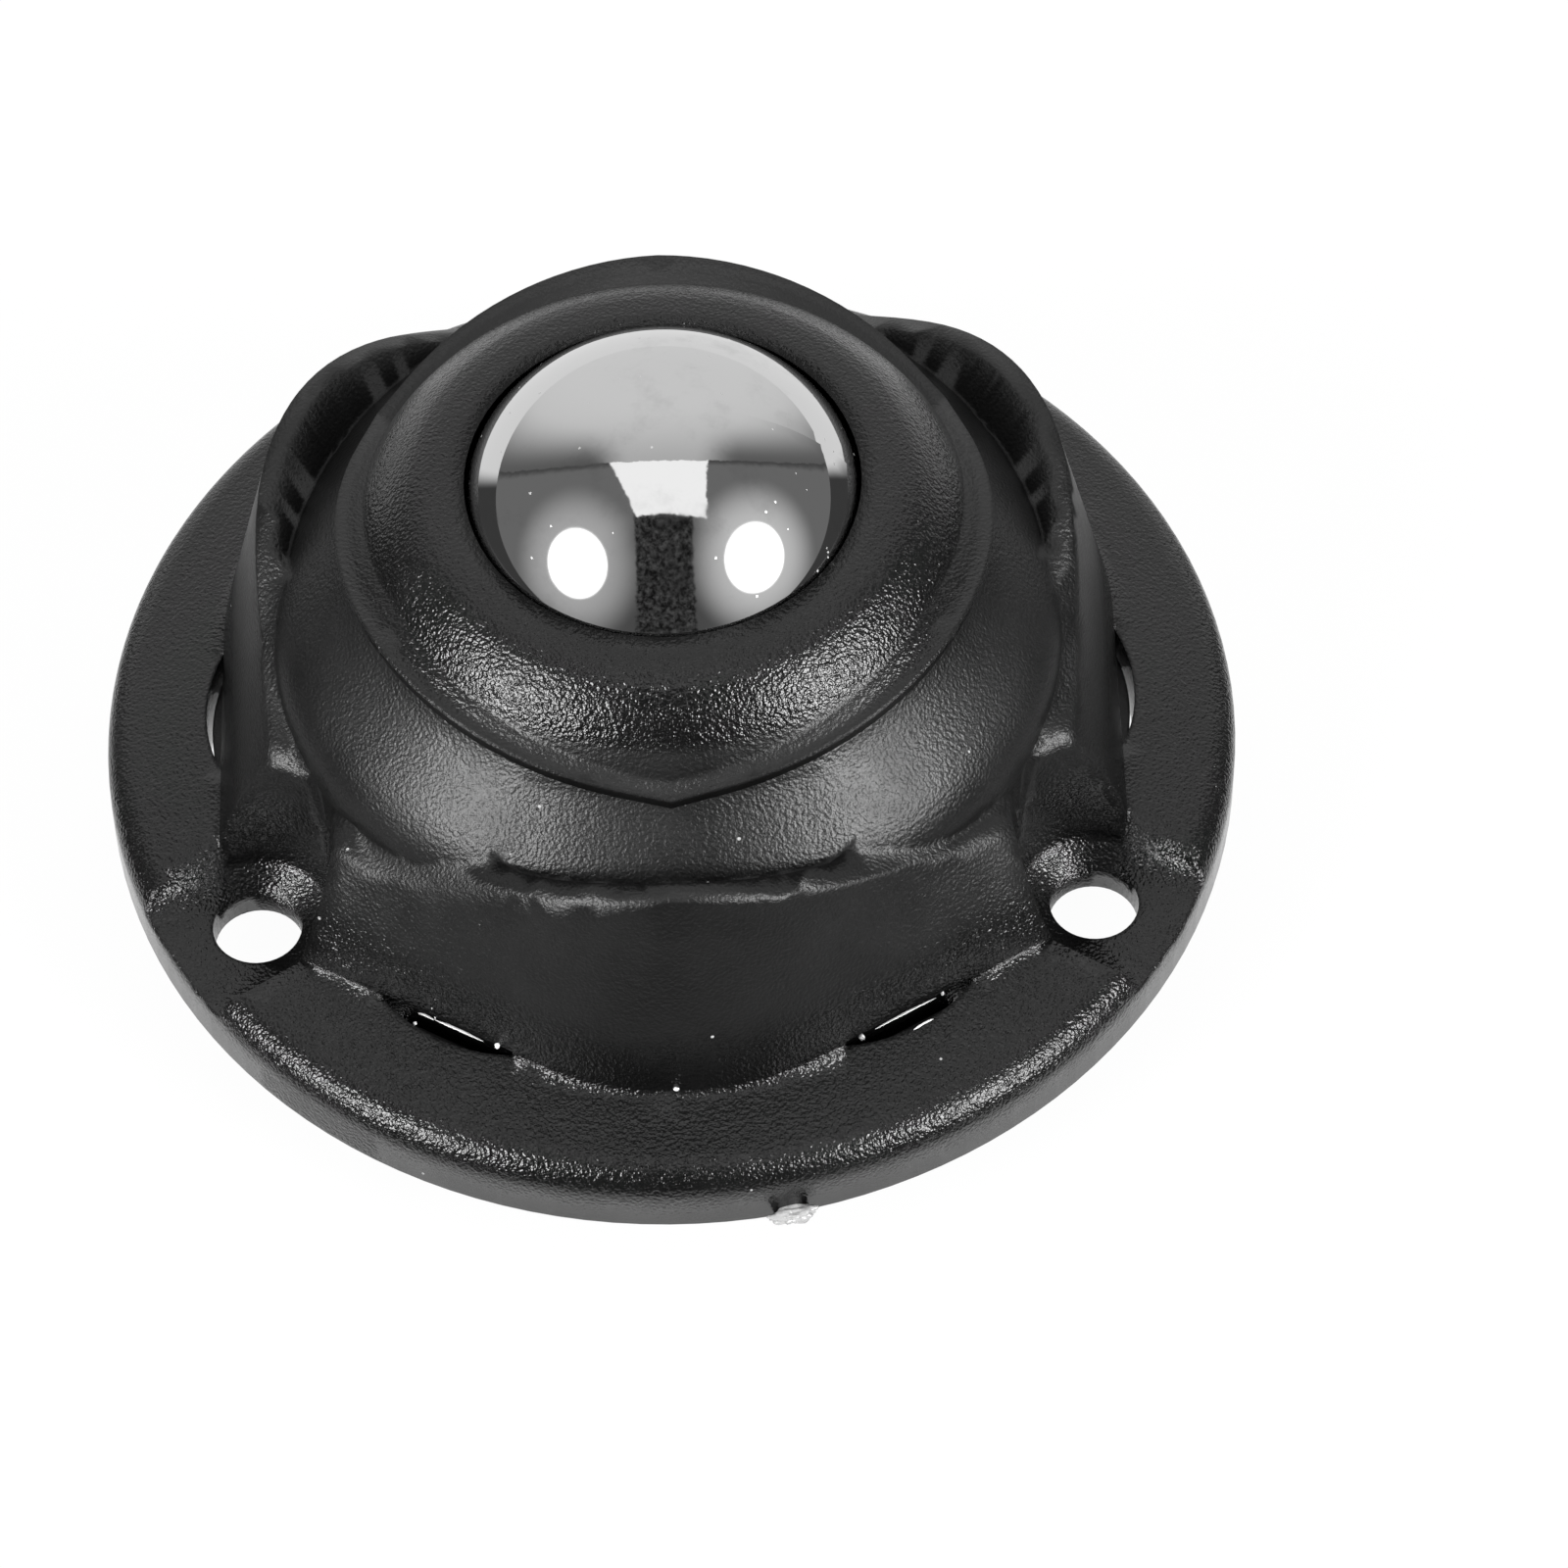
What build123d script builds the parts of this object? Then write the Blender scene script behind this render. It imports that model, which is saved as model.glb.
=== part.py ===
"""Adhesive furniture caster: a lobed plastic housing that holds a steel ball on a bed of small balls.

The caster lies on its adhesive face, ball upward. The origin is at the middle of that face, +Z is up,
and one of the three lobes points along -Y. All sizes are in millimetres.
"""
import os
from math import acos, atan2, cos, degrees, pi, radians, sin, sqrt, tan

from build123d import *

# Adhesive stack under the flange
liner_t = 0.15
foam_t = 3.0
pad_d = 30.0

# Flange
flange_d = 45.0
flange_t = 3.05
rim_round = 1.35
flange_rise = 0.75
skirt_w = 1.6
underside_recess = 0.7

# Screw holes, their open pockets and the screwdriver room above them
screw_count = 3
screw_edge = 3.6
screw_hole_d = 3.5
pocket_floor_t = 2.1
pocket_w = 5.7
pocket_flare = 0.45
driver_flare = 0.3

# Ball and its bed of small balls
ball_d = 17.0
ball_rise = 4.35
bead_d = 3.175
running_gap = 0.02
cup_t = 0.85
cup_drop = 3.0
bead_rings = (1, 6, 11, 16)
bead_ring_step = 18.6

# Dome, a flat ring that rolls over into a cone
dome_h = 17.5
opening_d = 15.2
opening_land = 0.05
ring_flat_r = 9.2
ring_fall = 0.12
dome_round = 2.9
dome_slope = 75.0

# Brim round the dome, a thin ledge that dips to a point over each lobe
brim_r = 12.65
brim_t = 0.45
brim_side_h = 15.85
brim_tip_h = 14.15
brim_dip_power = 1.2
brim_tip_out = 0.15
tip_round = 0.5

# Body below the brim, as radii at four heights
body_top_r = 11.7
body_top_h = 15.7
body_neck_r = 12.4
body_neck_h = 13.8
body_mid_r = 14.25
body_mid_h = 11.8
body_foot_r = 15.4
body_foot_h = 8.0

# Lobes: two flats at the foot, one round arc at the crest
lobe_count = 3
lobe_crest_h = 13.05
lobe_end_h = 8.0
lobe_arch_half = 16.0
lobe_foot_flat = 17.8
lobe_foot_round = 11.4
lobe_top_round = 9.3
lobe_top_reach = 16.5
lobe_reach_angle = 60.0
lobe_root = 1.2
rim_w = 0.85
groove_slope = 58.0
groove_w = 2.4

# Snap tabs of the bottom plate and their slots in the flange
slot_len = 5.8
slot_inner_flat = 17.5
slot_outer_r = 18.45
plate_t = 1.5
plate_d = 32.8
plate_gap = 0.1
tab_t = 0.6
tab_gap = 0.15
hook_drop = 0.75
cup_boss_d = 11.0
cup_boss_h = 1.9
wall_gap = 0.05

# Heights and radii worked out from the sizes above
seat_z = liner_t + foam_t
flange_r = flange_d / 2
flange_z = seat_z + flange_t
flange_foot_z = flange_z + flange_rise
dome_z = seat_z + dome_h
ball_r = ball_d / 2
ball_z = dome_z + ball_rise - ball_r
bead_r = bead_d / 2
bead_path_r = ball_r + bead_r + running_gap
cup_inner_r = bead_path_r + bead_r + running_gap
cup_outer_r = cup_inner_r + cup_t
cup_rim_z = ball_z - cup_drop
pocket_z = seat_z + pocket_floor_t
screw_r = flange_r - screw_edge
plate_r = plate_d / 2
opening_r = opening_d / 2
sixth = 360 / lobe_count / 2
lobe_angle = -90.0
screw_angle = lobe_angle + sixth
well_above = dome_z + ball_d

os.makedirs("parts", exist_ok=True)


def polar(radius, angle):
    """A point of a level plane, from its radius and its angle in degrees."""
    return (radius * cos(radians(angle)), radius * sin(radians(angle)))


def pointed_outline(radius, tip_out, tip_radius):
    """Draw a circle drawn out into three soft points, one over each lobe."""
    tip_centre = radius + tip_out - tip_radius
    lean = degrees(acos((radius - tip_radius) / tip_centre))
    for turn in range(lobe_count):
        middle = lobe_angle + turn * 2 * sixth
        tip = Vector(*polar(tip_centre, middle))
        before = tip + Vector(*polar(tip_radius, middle - lean))
        after = tip + Vector(*polar(tip_radius, middle + lean))
        point = tip + Vector(*polar(tip_radius, middle))
        ThreePointArc(before, point, after)
        Line(after, polar(radius, middle + lean))
        ThreePointArc(
            polar(radius, middle + lean),
            polar(radius, middle + sixth),
            polar(radius, middle + 2 * sixth - lean),
        )
        following = middle + 2 * sixth
        next_tip = Vector(*polar(tip_centre, following))
        Line(polar(radius, following - lean), next_tip + Vector(*polar(tip_radius, following - lean)))


def brim_height(across):
    """Height of the brim's top at a distance to the side of its point."""
    reach = brim_r * sin(radians(sixth))
    share = min(abs(across) / reach, 1)
    return seat_z + brim_side_h - (brim_side_h - brim_tip_h) * (1 - share) ** brim_dip_power


def above_brim(lowered):
    """Draw the region above the brim's top, lowered by a given amount, seen along the lobe's centre line."""
    side = 2 * brim_r
    steps = [eighth * brim_r / 8 for eighth in range(9)]
    right = [(x, brim_height(x) - lowered) for x in steps]
    left = [(-x, z) for x, z in reversed(right)]
    edge_z = right[-1][1]
    Spline(left)
    Spline(right)
    Line((brim_r, edge_z), (side, edge_z))
    Polyline((side, edge_z), (side, well_above), (-side, well_above), (-side, edge_z))
    Line((-side, edge_z), (-brim_r, edge_z))


def foot_reach(angle):
    """How far the foot of a lobe reaches at an angle from its centre."""
    half = sixth / 2
    centre = (lobe_foot_flat - lobe_foot_round) / cos(radians(half))
    bend = polar(lobe_foot_round, half)
    bend_angle = degrees(atan2(bend[1], centre + bend[0]))
    if abs(angle) > bend_angle:
        return lobe_foot_flat / cos(radians(half - abs(angle)))
    across = centre * sin(radians(angle))
    return centre * cos(radians(angle)) + sqrt(lobe_foot_round**2 - across**2)


def top_reach(angle):
    """How far the crest of a lobe reaches at an angle from its centre."""
    centre = lobe_top_reach - lobe_top_round
    across = centre * sin(radians(angle))
    return centre * cos(radians(angle)) + sqrt(lobe_top_round**2 - across**2)


def crest_height(across):
    """Height of the arched crest at a distance to the side of the lobe's centre."""
    lift = (1 + cos(pi * across / lobe_arch_half)) / 2
    return seat_z + lobe_end_h + (lobe_crest_h - lobe_end_h) * lift


def groove_point(angle):
    """A point of the inner edge of the crest, at an angle from the lobe's centre."""
    height = flange_foot_z
    for _ in range(8):
        share = (height - flange_foot_z) / (lobe_top_z - flange_foot_z)
        reach = foot_reach(angle) + share * (top_reach(angle) - foot_reach(angle)) - rim_w
        height = crest_height(reach * sin(radians(angle)))
    return (*polar(reach, angle), height)


def lobe_foot_outline():
    """Draw a lobe at its foot, two flats that meet in a rounded corner, with its centre along +X."""
    half = sixth / 2
    centre_x = (lobe_foot_flat - lobe_foot_round) / cos(radians(half))
    bend = Vector(centre_x, 0) + Vector(*polar(lobe_foot_round, half))
    end = Vector(*polar(foot_reach(lobe_reach_angle), lobe_reach_angle))
    Line((0, 0), (end.X, -end.Y))
    Line((end.X, -end.Y), (bend.X, -bend.Y))
    ThreePointArc((bend.X, -bend.Y), (foot_reach(0), 0), bend)
    Line(bend, end)
    Line(end, (0, 0))


def lobe_top_outline():
    """Draw the same lobe above its crest, where it is one round arc."""
    end = polar(top_reach(lobe_reach_angle), lobe_reach_angle)
    bend = polar(top_reach(sixth / 3), sixth / 3)
    between_angle = (lobe_reach_angle + sixth / 3) / 2
    between = polar(top_reach(between_angle), between_angle)
    Line((0, 0), (end[0], -end[1]))
    ThreePointArc((end[0], -end[1]), (between[0], -between[1]), (bend[0], -bend[1]))
    ThreePointArc((bend[0], -bend[1]), (top_reach(0), 0), bend)
    ThreePointArc(bend, between, end)
    Line(end, (0, 0))


def pocket_outline(half_width):
    """Draw a pocket that rounds the screw hole and runs out through the rim, along +X."""
    out = flange_r + pocket_w
    Line((screw_r, half_width), (out, half_width))
    Line((out, half_width), (out, -half_width))
    Line((out, -half_width), (screw_r, -half_width))
    ThreePointArc((screw_r, -half_width), (screw_r - half_width, 0), (screw_r, half_width))


def slot_outline(inset):
    """Draw a slot with a straight inner side and a round outer side, across +X."""
    inner = slot_inner_flat + inset
    half = slot_len / 2 - inset
    shoulder = slot_inner_flat + (slot_outer_r - slot_inner_flat) / 3
    Polyline((shoulder, half), (inner, half), (inner, -half), (shoulder, -half))
    ThreePointArc((shoulder, -half), (slot_outer_r - inset, 0), (shoulder, half))


# Lobe, with its centre along +X: a drafted wall under an arched crest
lobe_top_z = seat_z + lobe_crest_h + 0.5
with BuildPart() as lobe_block:
    with BuildSketch(Plane.XY.offset(flange_foot_z)) as lobe_foot:
        with BuildLine():
            lobe_foot_outline()
        make_face()
    with BuildSketch(Plane.XY.offset(lobe_top_z)):
        with BuildLine():
            lobe_top_outline()
        make_face()
    loft(ruled=True)
    extrude(lobe_foot.sketch, amount=-lobe_root)

with BuildPart() as groove:
    with BuildLine() as groove_path:
        Spline([groove_point(angle) for angle in range(-60, 61, 12)])
    with BuildSketch(Plane(groove_path.line @ 0, x_dir=(0, 0, 1), z_dir=groove_path.line % 0)):
        with BuildLine():
            fall = groove_w * tan(radians(groove_slope))
            Polyline((0, 0), (-fall, groove_w), (groove_w, groove_w), (groove_w, 0), (0, 0))
        make_face()
    sweep(path=groove_path.line, normal=Vector(0, 0, 1))

with BuildPart() as lobe:
    add(lobe_block.part)
    with BuildSketch(Plane.YZ):
        with BuildLine():
            crest = Spline([(y, crest_height(y)) for y in range(-20, 21, 4)])
            Polyline(crest @ 1, (20, 0), (-20, 0), crest @ 0)
        make_face()
    extrude(amount=flange_r, both=True, mode=Mode.INTERSECT)
    add(groove.part, mode=Mode.SUBTRACT)

# Dome, as one round solid
with BuildPart() as dome:
    with BuildSketch(Plane.XZ):
        with BuildLine():
            ring_z = dome_z - ring_fall
            turn_z = ring_z - dome_round
            cone_r = ring_flat_r + dome_round * sin(radians(dome_slope))
            cone_z = turn_z + dome_round * cos(radians(dome_slope))
            dome_foot_r = cone_r + (cone_z - flange_z) / tan(radians(dome_slope))
            Polyline((cone_r, cone_z), (dome_foot_r, flange_z), (0, flange_z), (0, dome_z), (opening_r, dome_z))
            Line((opening_r, dome_z), (ring_flat_r, ring_z))
            CenterArc((ring_flat_r, turn_z), dome_round, 90 - dome_slope, dome_slope)
        make_face()
    revolve(axis=Axis.Z)

# One third of the cap, dome and brim together, with its point along -Y
with BuildPart() as over_brim:
    with BuildSketch(Plane.XZ):
        with BuildLine():
            above_brim(0)
        make_face()
    extrude(amount=flange_d, both=True)
    add(dome.part, mode=Mode.SUBTRACT)

with BuildPart() as cap_third:
    with BuildSketch(Plane.XY.offset(flange_z)):
        with BuildLine():
            pointed_outline(brim_r, brim_tip_out, tip_round)
        make_face()
        with BuildLine():
            Polyline((0, 0), polar(flange_d, lobe_angle - sixth), polar(flange_d, lobe_angle + sixth), (0, 0))
        make_face(mode=Mode.INTERSECT)
    extrude(amount=dome_h)
    with BuildSketch(Plane.XZ):
        with BuildLine():
            above_brim(brim_t)
        make_face()
    extrude(amount=flange_d, both=True, mode=Mode.INTERSECT)
    add(over_brim.part, mode=Mode.SUBTRACT)

# Screw pocket with the screwdriver room above it, along +X
with BuildPart() as screw_pocket:
    with BuildSketch(Plane.XY.offset(pocket_z)):
        with BuildLine():
            pocket_outline(pocket_w / 2)
        make_face()
    with BuildSketch(Plane.XY.offset(flange_foot_z)):
        with BuildLine():
            pocket_outline(pocket_w / 2 + pocket_flare)
        make_face()
    loft(ruled=True)
    with Locations((screw_r, 0, flange_foot_z)):
        Cone(
            pocket_w / 2 + pocket_flare,
            pocket_w / 2 + pocket_flare + driver_flare,
            dome_h,
            align=(Align.CENTER, Align.CENTER, Align.MIN),
        )
    with Locations((screw_r, 0, 0)):
        Cylinder(screw_hole_d / 2, flange_z, align=(Align.CENTER, Align.CENTER, Align.MIN))

# Slot at the foot of a lobe, along +X
with BuildPart() as slot:
    with BuildSketch(Plane.XY.offset(seat_z)):
        with BuildLine():
            slot_outline(0)
        make_face()
    extrude(amount=flange_t + flange_rise)

# Snap tab of the bottom plate, along +X: a tongue under the flange with a hook that stands in the slot
with BuildPart() as snap_tab:
    with BuildSketch(Plane.XY.offset(seat_z)):
        with BuildLine():
            slot_outline(tab_gap)
        make_face()
    extrude(amount=flange_t - hook_drop)
    tongue_l = slot_inner_flat + 2 * tab_gap - plate_r / 2
    with Locations((plate_r / 2, 0, seat_z)):
        Box(tongue_l, slot_len - 2 * tab_gap, tab_t, align=(Align.MIN, Align.CENTER, Align.MIN))

# Housing, moulded in one piece
with BuildPart() as housing:
    with BuildSketch(Plane.XZ):
        with BuildLine():
            Polyline(
                (0, flange_foot_z),
                (0, seat_z),
                (flange_r, seat_z),
                (flange_r, flange_z - rim_round),
            )
            CenterArc((flange_r - rim_round, flange_z - rim_round), rim_round, 0, 90)
            Polyline((flange_r - rim_round, flange_z), (plate_r, flange_foot_z), (0, flange_foot_z))
        make_face()
    revolve(axis=Axis.Z)
    with PolarLocations(0, lobe_count, start_angle=lobe_angle):
        add(lobe.part)
    with BuildSketch(Plane.XZ):
        with BuildLine():
            Spline(
                (body_top_r, seat_z + body_top_h),
                (body_neck_r, seat_z + body_neck_h),
                (body_mid_r, seat_z + body_mid_h),
                (body_foot_r, seat_z + body_foot_h),
            )
            Polyline(
                (body_foot_r, seat_z + body_foot_h),
                (body_foot_r, flange_z),
                (0, flange_z),
                (0, seat_z + body_top_h),
                (body_top_r, seat_z + body_top_h),
            )
        make_face()
    revolve(axis=Axis.Z)
    with PolarLocations(0, lobe_count):
        add(cap_third.part)
    with PolarLocations(0, screw_count, start_angle=screw_angle):
        add(screw_pocket.part, mode=Mode.SUBTRACT)
    with BuildSketch(Plane.XY.offset(seat_z)):
        Circle(flange_r - skirt_w)
    extrude(amount=underside_recess, mode=Mode.SUBTRACT)
    with BuildSketch(Plane.XY.offset(seat_z)):
        Circle(plate_r + plate_gap)
    extrude(amount=plate_t, mode=Mode.SUBTRACT)
    with BuildSketch(Plane.XZ):
        with BuildLine():
            cavity_r = sqrt(opening_r**2 + (dome_z - opening_land - ball_z) ** 2)
            ledge_r = sqrt(cavity_r**2 - (ball_z - cup_rim_z) ** 2)
            Polyline(
                (0, well_above),
                (0, seat_z),
                (cup_outer_r + wall_gap, seat_z),
                (cup_outer_r + wall_gap, cup_rim_z),
                (ledge_r, cup_rim_z),
            )
            ThreePointArc(
                (ledge_r, cup_rim_z),
                (cavity_r, ball_z),
                (opening_r, dome_z - opening_land),
            )
            Polyline((opening_r, dome_z - opening_land), (opening_r, well_above), (0, well_above))
        make_face()
    revolve(axis=Axis.Z, mode=Mode.SUBTRACT)
    with PolarLocations(0, 2 * lobe_count, start_angle=lobe_angle + sixth / 2):
        add(slot.part, mode=Mode.SUBTRACT)
housing.part.label = "housing"
export_step(housing.part, "parts/housing.step")

# Bottom plate that snaps in from below, with a spherical seat for the bearing cup
with BuildPart() as bottom_plate:
    with Locations((0, 0, seat_z)):
        Cylinder(plate_r, plate_t, align=(Align.CENTER, Align.CENTER, Align.MIN))
        Cylinder(cup_boss_d / 2, cup_boss_h, align=(Align.CENTER, Align.CENTER, Align.MIN))
    with PolarLocations(0, 2 * lobe_count, start_angle=lobe_angle + sixth / 2):
        add(snap_tab.part)
    with Locations((0, 0, ball_z)):
        Sphere(cup_outer_r, mode=Mode.SUBTRACT)
bottom_plate.part.label = "bottom_plate"
export_step(bottom_plate.part, "parts/bottom_plate.step")

# Bearing cup, pressed from sheet into less than half a sphere
with BuildPart() as bearing_cup:
    with Locations((0, 0, ball_z)):
        Sphere(cup_outer_r)
        Sphere(cup_inner_r, mode=Mode.SUBTRACT)
    split(bisect_by=Plane.XY.offset(cup_rim_z), keep=Keep.BOTTOM)
bearing_cup.part.label = "bearing_cup"
export_step(bearing_cup.part, "parts/bearing_cup.step")

# Small balls, in rings that climb the cup from its lowest point
for ring, count in enumerate(bead_rings):
    lean = radians(ring * bead_ring_step)
    for place in range(count):
        x, y = polar(bead_path_r * sin(lean), place * 360 / count)
        with BuildPart() as bead:
            with Locations((x, y, ball_z - bead_path_r * cos(lean))):
                Sphere(bead_r)
        bead_name = f"support_ball_{ring}_{place + 1:02d}"
        bead.part.label = bead_name
        export_step(bead.part, f"parts/{bead_name}.step")

# Main ball
with BuildPart() as main_ball:
    with Locations((0, 0, ball_z)):
        Sphere(ball_r)
main_ball.part.label = "main_ball"
export_step(main_ball.part, "parts/main_ball.step")

# Adhesive foam pad with its release liner
with BuildPart() as foam_pad:
    with Locations((0, 0, liner_t)):
        Cylinder(pad_d / 2, foam_t, align=(Align.CENTER, Align.CENTER, Align.MIN))
foam_pad.part.label = "foam_pad"
export_step(foam_pad.part, "parts/foam_pad.step")

with BuildPart() as release_liner:
    Cylinder(pad_d / 2, liner_t, align=(Align.CENTER, Align.CENTER, Align.MIN))
release_liner.part.label = "release_liner"
export_step(release_liner.part, "parts/release_liner.step")
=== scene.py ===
"""Looks of the adhesive furniture caster: grained black plastic, a polished steel ball, soft studio light."""

import math

import bmesh
import bpy
from mathutils import Matrix, Vector, noise

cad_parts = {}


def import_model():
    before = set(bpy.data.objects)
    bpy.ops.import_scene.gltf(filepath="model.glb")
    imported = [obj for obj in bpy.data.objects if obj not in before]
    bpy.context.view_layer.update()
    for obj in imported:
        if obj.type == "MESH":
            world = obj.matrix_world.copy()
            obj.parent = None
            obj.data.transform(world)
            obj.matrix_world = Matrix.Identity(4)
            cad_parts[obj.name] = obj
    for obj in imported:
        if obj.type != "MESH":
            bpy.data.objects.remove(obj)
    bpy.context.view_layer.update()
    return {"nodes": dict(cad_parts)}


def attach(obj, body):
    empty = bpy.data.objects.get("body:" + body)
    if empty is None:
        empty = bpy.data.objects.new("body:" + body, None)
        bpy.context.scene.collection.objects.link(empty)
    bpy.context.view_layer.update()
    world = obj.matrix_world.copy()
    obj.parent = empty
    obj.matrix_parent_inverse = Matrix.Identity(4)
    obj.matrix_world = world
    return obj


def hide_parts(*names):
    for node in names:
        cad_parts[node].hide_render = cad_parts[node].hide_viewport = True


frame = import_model()
MM = 0.001

# Sizes of the solids, in millimetres, with the lobes' and the brim's heights over the flange's seat
SEAT_Z = 3.15
BALL_Z = 16.5
BRIM_R = 12.65
BRIM_SIDE_H = 15.85
BRIM_DIP = 1.7
FLANGE_H = 3.8
FOOT_R = 17.8
FOOT_BEND = 11.4
TOP_R = 16.5
TOP_BEND = 9.3
WALL_H = 13.55
CREST_H = 13.05
CREST_LOW_H = 8
CREST_SPAN = 16

# What is taken off the housing: the valley's rim and slope, and the arc of the dome's shoulder
RIM_W = 0.85
VALLEY_SLOPE = 1.6
UNDER_BRIM = 0.44
SHOULDER_R = 6
SHOULDER_CENTRE = (6.46, 12.13)

# Surroundings, as directions from the ball: a backdrop behind and above, two lamps, a column in front
BACKDROP_SIDE = (0.0, 1.0, 0.41)
HORIZON = 0.53
LEFT_LAMP = (-0.725, -0.515, 0.457)
RIGHT_LAMP = (0.74, -0.50, 0.45)
LAMP_LEVEL = 24.0
FRONT_LEVEL = 0.2
COLUMN_HALF = 0.27
COLUMN_TOP = -0.37
WINDOW_LEVEL = 1.35


def material(name):
    """A new node material: its node tree, its shader and itself."""
    made = bpy.data.materials.new(name)
    made.use_nodes = True
    tree = made.node_tree
    shader = tree.nodes["Principled BSDF"]
    return made, tree, shader


def node(tree, kind, inputs=(), **settings):
    """Add a node, set its properties, and set or link its inputs by name or number."""
    made = tree.nodes.new(kind)
    for key, value in settings.items():
        setattr(made, key, value)
    for key, value in dict(inputs).items():
        if isinstance(value, bpy.types.NodeSocket):
            tree.links.new(value, made.inputs[key])
        else:
            made.inputs[key].default_value = value
    return made


def maths(tree, operation, *values):
    """The result of one sum on numbers or sockets."""
    return node(tree, "ShaderNodeMath", dict(enumerate(values)), operation=operation).outputs[0]


def dot(tree, first, second):
    """The dot product of two vectors."""
    made = node(tree, "ShaderNodeVectorMath", {0: first, 1: second}, operation="DOT_PRODUCT")
    return made.outputs["Value"]


def fade(tree, value, low, high, start=0.0, end=1.0):
    """A smooth step from start, where the value is low, to end, where it is high."""
    ends = {"Value": value, "From Min": low, "From Max": high, "To Min": start, "To Max": end}
    return node(tree, "ShaderNodeMapRange", ends, interpolation_type="SMOOTHSTEP").outputs[0]


def blend(tree, share, first, second):
    """A share of the way from a first number to a second."""
    return node(tree, "ShaderNodeMapRange", {"Value": share, "To Min": first, "To Max": second}).outputs[0]


def cloud(tree, place, scale, detail=2.0, roughness=0.5):
    """A noise pattern around one half."""
    settings = {"Vector": place, "Scale": scale, "Detail": detail, "Roughness": roughness}
    return node(tree, "ShaderNodeTexNoise", settings).outputs["Fac"]


def specks(tree, place, scale, size, share):
    """Round specks, one in a share of the cells of a random pattern, as a mask."""
    cells = node(tree, "ShaderNodeTexVoronoi", {"Vector": place, "Scale": scale})
    inside = fade(tree, cells.outputs["Distance"], size * 0.7, size, 1.0, 0.0)
    red = node(tree, "ShaderNodeSeparateColor", {0: cells.outputs["Color"]}).outputs[0]
    return maths(tree, "MULTIPLY", inside, maths(tree, "LESS_THAN", red, share))


def grey(tree, value):
    """A grey colour of a value."""
    return node(tree, "ShaderNodeCombineColor", {0: value, 1: value, 2: value}).outputs[0]


def grained_plastic(name, base, rough, grain, edge=0.25, dust=0.12):
    """Moulded plastic with a spark-eroded grain, weaker and duller between flange and brim."""
    made, tree, shader = material(name)
    place = node(tree, "ShaderNodeTexCoord").outputs["Object"]
    rounded = node(tree, "ShaderNodeBevel", {"Radius": edge * MM}, samples=4).outputs[0]
    pebbles = cloud(tree, place, 7000.0, 1.0, 0.5)
    height = node(tree, "ShaderNodeSeparateXYZ", {0: place}).outputs[2]
    above_flange = fade(tree, height, (SEAT_Z + 5) * MM, (SEAT_Z + 7) * MM)
    below_brim = fade(tree, height, (SEAT_Z + 15.2) * MM, (SEAT_Z + 15.8) * MM, 1.0, 0.0)
    band = maths(tree, "MULTIPLY", above_flange, below_brim)
    depth = blend(tree, band, 1.0, 0.6)
    bump = node(
        tree, "ShaderNodeBump",
        {"Height": pebbles, "Strength": depth, "Distance": grain * MM, "Normal": rounded},
    )
    patches = cloud(tree, place, 260.0, 4.0, 0.6)
    lint = specks(tree, place, 800.0, 0.06, dust)
    body = fade(tree, patches, 0.3, 0.7, base * 0.8, base * 1.25)
    tint = blend(tree, lint, body, 0.35)
    worn = fade(tree, patches, 0.3, 0.7, rough - 0.03, rough + 0.05)
    spread = maths(tree, "MULTIPLY_ADD", band, 0.2, worn)
    tree.links.new(grey(tree, tint), shader.inputs["Base Color"])
    tree.links.new(blend(tree, lint, spread, 0.8), shader.inputs["Roughness"])
    tree.links.new(bump.outputs["Normal"], shader.inputs["Normal"])
    shader.inputs["IOR"].default_value = 1.5
    return made


def polished_steel(name, base, rough, dirt, dust=0.0):
    """Polished steel with faint smears and specks of dust."""
    made, tree, shader = material(name)
    place = node(tree, "ShaderNodeTexCoord").outputs["Object"]
    smear = cloud(tree, place, 330.0, 6.0, 0.65)
    lint = specks(tree, place, 2600.0, 0.16, dust)
    worn = fade(tree, smear, 0.42, 0.72, rough, rough + dirt)
    film = fade(tree, smear, 0.5, 0.75, base, base * 0.82)
    tree.links.new(grey(tree, film), shader.inputs["Base Color"])
    tree.links.new(blend(tree, lint, worn, 0.6), shader.inputs["Roughness"])
    shader.inputs["Metallic"].default_value = 1.0
    return made


def foam(name, base):
    """White closed-cell foam with fine open cells at its cut edge."""
    made, tree, shader = material(name)
    place = node(tree, "ShaderNodeTexCoord").outputs["Object"]
    cells = node(tree, "ShaderNodeTexVoronoi", {"Vector": place, "Scale": 3600.0}).outputs["Distance"]
    bump = node(tree, "ShaderNodeBump", {"Height": cells, "Strength": 0.8, "Distance": 0.08 * MM})
    tint = fade(tree, cells, 0.1, 0.7, base * 0.75, base)
    tree.links.new(grey(tree, tint), shader.inputs["Base Color"])
    tree.links.new(bump.outputs["Normal"], shader.inputs["Normal"])
    shader.inputs["Roughness"].default_value = 0.85
    return made


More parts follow.
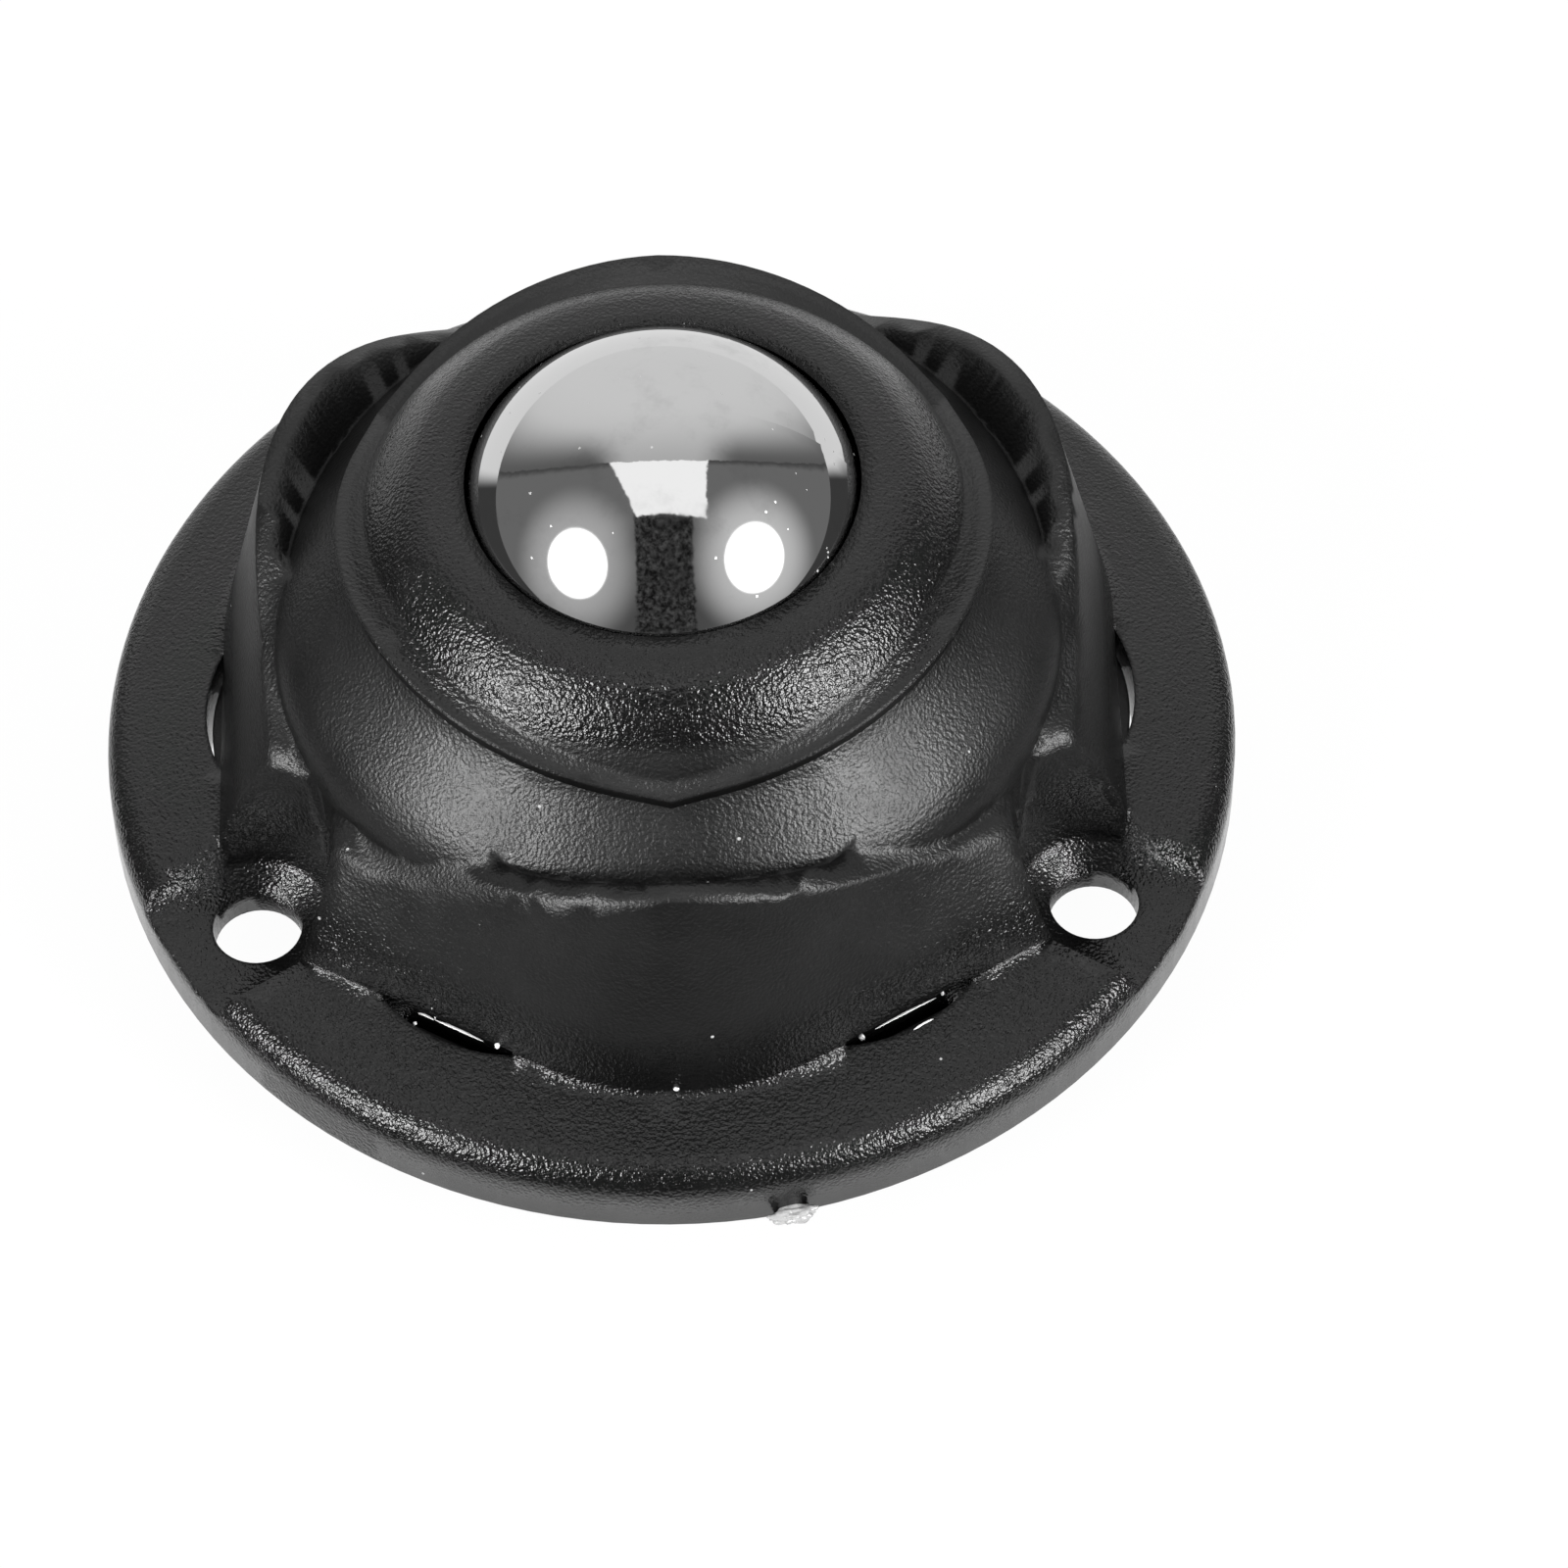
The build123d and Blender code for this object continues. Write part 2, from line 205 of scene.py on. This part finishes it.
def waxed_paper(name, base):
    """Pale glazed liner paper with long fibres just visible."""
    made, tree, shader = material(name)
    place = node(tree, "ShaderNodeTexCoord").outputs["Object"]
    stretched = node(tree, "ShaderNodeMapping", {"Vector": place, "Scale": (1.0, 0.25, 1.0)}).outputs[0]
    fibres = cloud(tree, stretched, 2400.0, 4.0, 0.6)
    bump = node(tree, "ShaderNodeBump", {"Height": fibres, "Strength": 0.4, "Distance": 0.01 * MM})
    tint = fade(tree, fibres, 0.3, 0.7, base * 0.92, base)
    warm = node(tree, "ShaderNodeCombineColor", {0: tint, 1: tint, 2: maths(tree, "MULTIPLY", tint, 0.9)})
    tree.links.new(warm.outputs[0], shader.inputs["Base Color"])
    tree.links.new(bump.outputs["Normal"], shader.inputs["Normal"])
    shader.inputs["Roughness"].default_value = 0.4
    return made


def dress(names, made):
    """Give every one of these nodes the material."""
    for name in names:
        mesh = frame["nodes"][name].data
        mesh.materials.clear()
        mesh.materials.append(made)


beads = [name for name in frame["nodes"] if name.startswith("support_ball")]
black = grained_plastic("black_grained_plastic", 0.003, 0.21, 0.062)
dress(["housing"], black)
dress(["bottom_plate"], grained_plastic("black_plate_plastic", 0.012, 0.42, 0.03, edge=0.15))
dress(["main_ball"], polished_steel("polished_ball_steel", 0.62, 0.02, 0.06, dust=0.12))
dress(beads, polished_steel("small_ball_steel", 0.6, 0.06, 0.1))
dress(["bearing_cup"], polished_steel("cup_steel", 0.5, 0.22, 0.2))
dress(["foam_pad"], foam("adhesive_foam", 0.72))
dress(["release_liner"], waxed_paper("liner_paper", 0.75))


def piece(name, mesh, made):
    """Put a mesh in the scene as a piece of the housing's body."""
    thing = bpy.data.objects.new(name, mesh)
    bpy.context.scene.collection.objects.link(thing)
    mesh.materials.append(made)
    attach(thing, "base")
    return thing


def sliver(name, start, end, width, made, bow=0.05):
    """A thin curved sliver of flash or fibre between two points, tapered at both ends."""
    start = Vector(start)
    end = Vector(end)
    along = (end - start).normalized()
    aside = along.cross(Vector((0, 0, 1))).normalized()
    over = aside.cross(along)
    built = bmesh.new()
    rings = []
    for step in range(13):
        share = step / 12
        middle = start.lerp(end, share) + over * bow * math.sin(math.pi * share)
        thick = width * (0.25 + 0.75 * math.sin(math.pi * share) ** 0.5)
        thick *= 1 + 0.3 * noise.noise(middle * 3)
        ring = []
        for corner in range(6):
            turn = corner * math.pi / 3
            point = middle + (aside * math.cos(turn) * 0.5 + over * math.sin(turn) * 0.35) * thick
            ring.append(built.verts.new(point * MM))
        rings.append(ring)
    for before, after in zip(rings, rings[1:]):
        for corner in range(6):
            following = (corner + 1) % 6
            built.faces.new((before[corner], before[following], after[following], after[corner]))
    built.faces.new(rings[0][::-1])
    built.faces.new(rings[-1])
    bmesh.ops.recalc_face_normals(built, faces=built.faces)
    mesh = bpy.data.meshes.new(name)
    built.to_mesh(mesh)
    built.free()
    return piece(name, mesh, made)


def crumb(name, centre, radii, turn, made, roughness=0.3):
    """A small lumpy crumb of plastic, flattened and turned about the vertical."""
    built = bmesh.new()
    bmesh.ops.create_icosphere(built, subdivisions=4, radius=1.0)
    spin = Matrix.Rotation(math.radians(turn), 3, "Z")
    for vert in built.verts:
        lump = 1 + roughness * noise.fractal(vert.co * 1.6 + Vector(centre), 1.0, 2.0, 4)
        shaped = Vector((vert.co.x * radii[0], vert.co.y * radii[1], vert.co.z * radii[2])) * lump
        vert.co = (Vector(centre) + spin @ shaped) * MM
    mesh = bpy.data.meshes.new(name)
    built.to_mesh(mesh)
    built.free()
    for face in mesh.polygons:
        face.use_smooth = True
    return piece(name, mesh, made)


def off_lobe(angle):
    """Angle in degrees from the centre of the nearest lobe, for an angle of the frame."""
    return (angle + 90 + 60) % 120 - 60


def brim_top(radius, angle):
    """Height of the brim's top at a radius and an angle from the lobe's centre."""
    share = min(abs(radius * math.sin(math.radians(angle))) / (BRIM_R * math.sin(math.radians(60))), 1)
    return BRIM_SIDE_H - BRIM_DIP * (1 - share) ** 1.2


def wall_reach(angle, height):
    """How far a lobe's drafted wall reaches at an angle from its centre and a height."""
    foot_centre = (FOOT_R - FOOT_BEND) / math.cos(math.radians(30))
    bend = math.degrees(math.atan2(FOOT_BEND * 0.5, foot_centre + FOOT_BEND * math.cos(math.radians(30))))
    foot = FOOT_R / math.cos(math.radians(30 - abs(angle)))
    if abs(angle) < bend:
        across = foot_centre * math.sin(math.radians(angle))
        foot = foot_centre * math.cos(math.radians(angle)) + math.sqrt(FOOT_BEND**2 - across**2)
    top_centre = TOP_R - TOP_BEND
    across = top_centre * math.sin(math.radians(angle))
    top = top_centre * math.cos(math.radians(angle)) + math.sqrt(TOP_BEND**2 - across**2)
    return foot + (height - FLANGE_H) / (WALL_H - FLANGE_H) * (top - foot)


def rim_edge(angle):
    """Radius and height of the inner edge of a lobe's rim."""
    height = FLANGE_H
    for _ in range(8):
        reach = wall_reach(angle, height) - RIM_W
        lift = (1 + math.cos(math.pi * reach * math.sin(math.radians(angle)) / CREST_SPAN)) / 2
        height = CREST_LOW_H + (CREST_H - CREST_LOW_H) * lift
    return reach, height


def body_radius(height):
    """Radius of the round body under the brim, within 0.05 of the solid's up to 13.8 and within 0.2 above."""
    rows = (
        (8.0, 15.35), (9.0, 15.5), (9.76, 15.42), (10.32, 15.23), (10.78, 15.0), (11.17, 14.74), (11.52, 14.45),
        (11.85, 14.16), (12.47, 13.55), (13.08, 12.95), (13.42, 12.66), (13.77, 12.38), (14.6, 12.05), (15.6, 11.68),
    )
    if height <= rows[0][0]:
        return rows[0][1]
    for (low, first), (high, second) in zip(rows, rows[1:]):
        if height <= high:
            return first + (height - low) / (high - low) * (second - first)
    return rows[-1][1]


def valley_outline(angle):
    """Section of the valley between a lobe's rim and the body, up to the brim's underside."""
    off = off_lobe(angle)
    edge_r, edge_h = rim_edge(off)
    # The slope starts over the rim, and rises clear of the lobe where the valley ends
    past = min(max((abs(off) - 23) / 11, 0), 1)
    clear = 0.1 * past
    edge_r += 0.15
    edge_h += 0.24 + 1.5 * past
    edge_r = max(edge_r, body_radius(edge_h) + clear + 0.02)
    crease_h = edge_h
    while edge_r - (edge_h - crease_h) / VALLEY_SLOPE > body_radius(crease_h) + clear:
        crease_h -= 0.02
    top_h = brim_top(12.3, off) - UNDER_BRIM
    inner = [crease_h + (top_h - crease_h) * step / 16 for step in range(17)]
    side = [(body_radius(height) + clear, height) for height in inner]
    ledge = [(radius, brim_top(radius, off) - UNDER_BRIM) for radius in (12.3, 12.6, 12.9)]
    crown = max(edge_h + 0.3, ledge[-1][1])
    return [(edge_r, edge_h)] + side + ledge[1:] + [(13.2, crown), (edge_r, crown)]


def shoulder_outline(angle):
    """Section of what is taken off the dome's shoulder, down to the brim's top."""
    off = off_lobe(angle)
    centre_r, centre_h = SHOULDER_CENTRE
    lean = 15.0
    while centre_h + SHOULDER_R * math.sin(math.radians(lean)) < brim_top(11.8, off) + 0.02:
        lean += 0.1
    side = []
    for step in range(15):
        turn = math.radians(lean + (58 - lean) * step / 14)
        side.append((centre_r + SHOULDER_R * math.cos(turn), centre_h + SHOULDER_R * math.sin(turn)))
    blend_in = [(9.4, 17.29), (9.22, 17.36), (9.05, 17.41)]
    ledge = [(radius, brim_top(radius, off) + 0.02) for radius in (13.4, 12.9, 12.4)]
    return side + blend_in + [(9.05, 18.0), (13.4, 18.0)] + ledge


def carve(shape, outline):
    """Take a ring, whose section changes with the angle, off an object."""
    built = bmesh.new()
    rings = []
    for step in range(360):
        ring = []
        for radius, height in outline(step):
            turn = math.radians(step)
            point = Vector((radius * math.cos(turn), radius * math.sin(turn), SEAT_Z + height))
            ring.append(built.verts.new(point * MM))
        rings.append(ring)
    for before, after in zip(rings, rings[1:] + rings[:1]):
        for corner in range(len(before)):
            following = (corner + 1) % len(before)
            built.faces.new((before[corner], before[following], after[following], after[corner]))
    bmesh.ops.recalc_face_normals(built, faces=built.faces)
    mesh = bpy.data.meshes.new("cutter")
    built.to_mesh(mesh)
    built.free()
    cutter = bpy.data.objects.new("cutter", mesh)
    bpy.context.scene.collection.objects.link(cutter)
    cut = shape.modifiers.new("cut", "BOOLEAN")
    cut.operation = "DIFFERENCE"
    cut.solver = "EXACT"
    cut.object = cutter
    finished = bpy.data.meshes.new_from_object(shape.evaluated_get(bpy.context.evaluated_depsgraph_get()))
    shape.modifiers.clear()
    shape.data = finished
    bpy.data.objects.remove(cutter)
    bpy.data.meshes.remove(mesh)


def moulding():
    """The housing with the valley behind each lobe's rim and the dome's sloping shoulder."""
    built = bmesh.new()
    built.from_mesh(frame["nodes"]["housing"].data)
    bmesh.ops.remove_doubles(built, verts=built.verts, dist=0.0002 * MM)
    mesh = bpy.data.meshes.new("moulded_housing")
    built.to_mesh(mesh)
    built.free()
    shape = piece("moulded_housing", mesh, black)
    carve(shape, shoulder_outline)
    carve(shape, valley_outline)
    for face in shape.data.polygons:
        face.use_smooth = True
    shape.data.set_sharp_from_angle(angle=math.radians(42))
    even = shape.modifiers.new("even", "WEIGHTED_NORMAL")
    even.keep_sharp = True
    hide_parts("housing")


def flakes():
    """Flash, crumbs and lint round the slots, the flash painted near-white as a highlight, and the stub that the gate
    left on the flange.
    """
    # Painted highlight: the flash slivers' near-white colour stands in for the glint along the slots' edges, and the
    # lint and crumbs share it as their own pale colour
    pale = grained_plastic("flash_painted_highlight_and_crumb_plastic", 0.8, 0.35, 0.02, edge=0.02, dust=0.0)
    clear = grained_plastic("gate_plastic", 0.3, 0.16, 0.05, edge=0.05, dust=0.0)
    sliver("flash_left_a", (-10.02, -14.50, 6.30), (-9.40, -14.88, 6.33), 0.11, pale)
    sliver("flash_left_b", (-9.36, -14.90, 6.36), (-7.52, -15.96, 6.36), 0.12, pale)
    sliver("lint_left", (-9.36, -14.92, 6.40), (-9.46, -15.00, 7.35), 0.10, pale)
    crumb("crumb_left", (-6.96, -16.60, 6.98), (0.10, 0.09, 0.15), 20, pale)
    crumb("crumb_slot", (-10.15, -14.95, 6.25), (0.07, 0.06, 0.08), 10, pale)
    sliver("flash_right", (7.55, -15.92, 6.36), (9.95, -14.54, 6.36), 0.10, pale)
    crumb("crumb_right_a", (7.02, -16.22, 6.30), (0.13, 0.10, 0.17), -30, pale)
    crumb("crumb_right_b", (10.20, -14.42, 6.50), (0.06, 0.06, 0.14), -30, pale)
    sliver("lint_right", (9.02, -16.42, 6.98), (9.78, -15.94, 6.98), 0.10, pale)
    crumb("crumb_lobe", (-0.14, -18.84, 6.98), (0.11, 0.07, 0.08), 0, pale)
    crumb("gate_stub", (4.22, -22.38, 3.42), (0.78, 0.34, 0.30), 10, clear, roughness=0.55)


def floor():
    """A white floor that stays white to the camera, with a faint shadow, and that glows in reflections as painted
    light: a bright disc round the object and, further out, dim in front and bright behind.
    """
    bpy.ops.mesh.primitive_plane_add(size=3.0)
    plane = bpy.context.object
    plane.name = "floor"
    made, tree, shader = material("white_floor")
    here = node(tree, "ShaderNodeNewGeometry").outputs["Position"]
    from_ball = node(tree, "ShaderNodeVectorMath", {0: here, 1: (0, 0, BALL_Z * MM)}, operation="SUBTRACT").outputs[0]
    towards = node(tree, "ShaderNodeVectorMath", {0: from_ball}, operation="NORMALIZE").outputs[0]
    shader.inputs["Base Color"].default_value = (0.8, 0.8, 0.8, 1.0)
    shader.inputs["Roughness"].default_value = 0.9
    path = node(tree, "ShaderNodeLightPath")
    seen = maths(tree, "MULTIPLY", path.outputs["Is Camera Ray"], 0.96)
    share = maths(tree, "MAXIMUM", seen, path.outputs["Is Glossy Ray"])
    # Painted reflection: glossy rays see the floor glow at 1.1 within 27 to 37 mm of the middle, and further out at
    # 0.06 in front rising to 0.95 behind
    far = fade(tree, dot(tree, towards, BACKDROP_SIDE), HORIZON - 0.1, HORIZON, 0.06, 0.95)
    spread = node(tree, "ShaderNodeVectorMath", {0: here}, operation="LENGTH").outputs["Value"]
    mirrored = blend(tree, fade(tree, spread, 0.027, 0.037, 1.0, 0.0), far, 1.1)
    glow = node(tree, "ShaderNodeEmission", {"Strength": blend(tree, path.outputs["Is Camera Ray"], mirrored, 1.0)})
    mix = node(tree, "ShaderNodeMixShader", {0: share})
    tree.links.new(shader.outputs[0], mix.inputs[1])
    tree.links.new(glow.outputs[0], mix.inputs[2])
    tree.links.new(mix.outputs[0], tree.nodes["Material Output"].inputs["Surface"])
    plane.data.materials.append(made)


def surroundings(tree):
    """Brightness of the studio in a direction."""
    towards = node(tree, "ShaderNodeTexCoord").outputs["Generated"]
    axes = node(tree, "ShaderNodeSeparateXYZ", {0: towards})
    torn = maths(tree, "MULTIPLY_ADD", cloud(tree, towards, 9.0, 6.0, 0.7), 0.09, -0.045)
    aside = maths(tree, "ADD", axes.outputs[0], torn)
    ahead = maths(tree, "SUBTRACT", axes.outputs[1], torn)
    off_centre = maths(tree, "ABSOLUTE", aside)
    depth = dot(tree, towards, BACKDROP_SIDE)
    torn_depth = maths(tree, "MULTIPLY_ADD", torn, 0.6, depth)

    # Backdrop, greyer just over the horizon at both sides
    dusk = maths(tree, "MULTIPLY", fade(tree, off_centre, 0.25, 0.6), fade(tree, depth, HORIZON, 0.85, 0.75, 0.0))
    backdrop = maths(tree, "MULTIPLY", fade(tree, depth, 0.45, 1.0, 0.6, 0.88), maths(tree, "SUBTRACT", 1.0, dusk))

    # Front wall, with a dark seam under the horizon and a dim part near the column
    seam = fade(tree, torn_depth, HORIZON - 0.06, HORIZON - 0.01, 1.0, 0.45)
    near = blend(tree, fade(tree, ahead, -0.6, -0.35), fade(tree, off_centre, COLUMN_HALF, 0.75, 0.5, 1.0), 1.0)
    front = maths(tree, "MULTIPLY", maths(tree, "MULTIPLY", seam, near), FRONT_LEVEL)
    for lamp, halo in ((LEFT_LAMP, 0.4), (RIGHT_LAMP, 0.6)):
        facing = dot(tree, towards, lamp)
        front = maths(tree, "ADD", front, fade(tree, facing, 0.78, 0.98, 0.0, halo))
        front = maths(tree, "ADD", front, fade(tree, facing, 0.953, 0.995, 0.0, LAMP_LEVEL))

    # Dark column with a bright window above it
    mottled = fade(tree, cloud(tree, towards, 22.0, 5.0, 0.7), 0.35, 0.75, 0.008, 0.12)
    in_column = fade(tree, off_centre, COLUMN_HALF - 0.03, COLUMN_HALF, 1.0, 0.0)
    front = blend(tree, in_column, front, mottled)
    left_edge = fade(tree, maths(tree, "MULTIPLY_ADD", ahead, 0.35, aside), -0.38, -0.36)
    right_edge = fade(tree, aside, 0.36, 0.38, 1.0, 0.0)
    above_column = fade(tree, ahead, COLUMN_TOP - 0.01, COLUMN_TOP + 0.01)
    in_window = maths(tree, "MULTIPLY", maths(tree, "MULTIPLY", left_edge, right_edge), above_column)
    front = blend(tree, in_window, front, WINDOW_LEVEL)
    return blend(tree, fade(tree, torn_depth, HORIZON - 0.01, HORIZON), front, backdrop)


def world():
    """The studio as it lights and mirrors in the object, and white to the camera."""
    made = bpy.data.worlds.new("studio")
    made.use_nodes = True
    tree = made.node_tree
    tree.nodes.clear()
    path = node(tree, "ShaderNodeLightPath")
    room = node(tree, "ShaderNodeBackground", {"Color": (1, 1, 1, 1), "Strength": surroundings(tree)})
    white = node(tree, "ShaderNodeBackground", {"Color": (1, 1, 1, 1), "Strength": 1.0})
    ends = {0: path.outputs["Is Camera Ray"], 1: room.outputs[0], 2: white.outputs[0]}
    mix = node(tree, "ShaderNodeMixShader", ends)
    out = node(tree, "ShaderNodeOutputWorld")
    tree.links.new(mix.outputs[0], out.inputs["Surface"])
    bpy.context.scene.world = made


def camera():
    """The photograph's view: a long lens, 282 mm away and 54 degrees above the floor."""
    distance, elevation, roll, yaw = 282.267, 53.691, -0.881, -0.935
    aside, above = 4.472, -1.275
    lens = bpy.data.cameras.new("camera")
    lens.sensor_width = 36.0
    lens.lens = 161.386
    lens.clip_start = 0.01
    holder = bpy.data.objects.new("camera", lens)
    bpy.context.scene.collection.objects.link(holder)
    turn = Matrix.Rotation(math.radians(90 - elevation), 4, "X") @ Matrix.Rotation(math.radians(roll), 4, "Z")
    shift = Matrix.Translation((aside * MM, above * MM, distance * MM))
    seat = Matrix.Translation((0, 0, SEAT_Z * MM))
    holder.matrix_world = seat @ Matrix.Rotation(math.radians(yaw), 4, "Z") @ turn @ shift
    bpy.context.scene.camera = holder


moulding()
flakes()
floor()
world()
camera()
bpy.context.scene.view_settings.view_transform = "Standard"
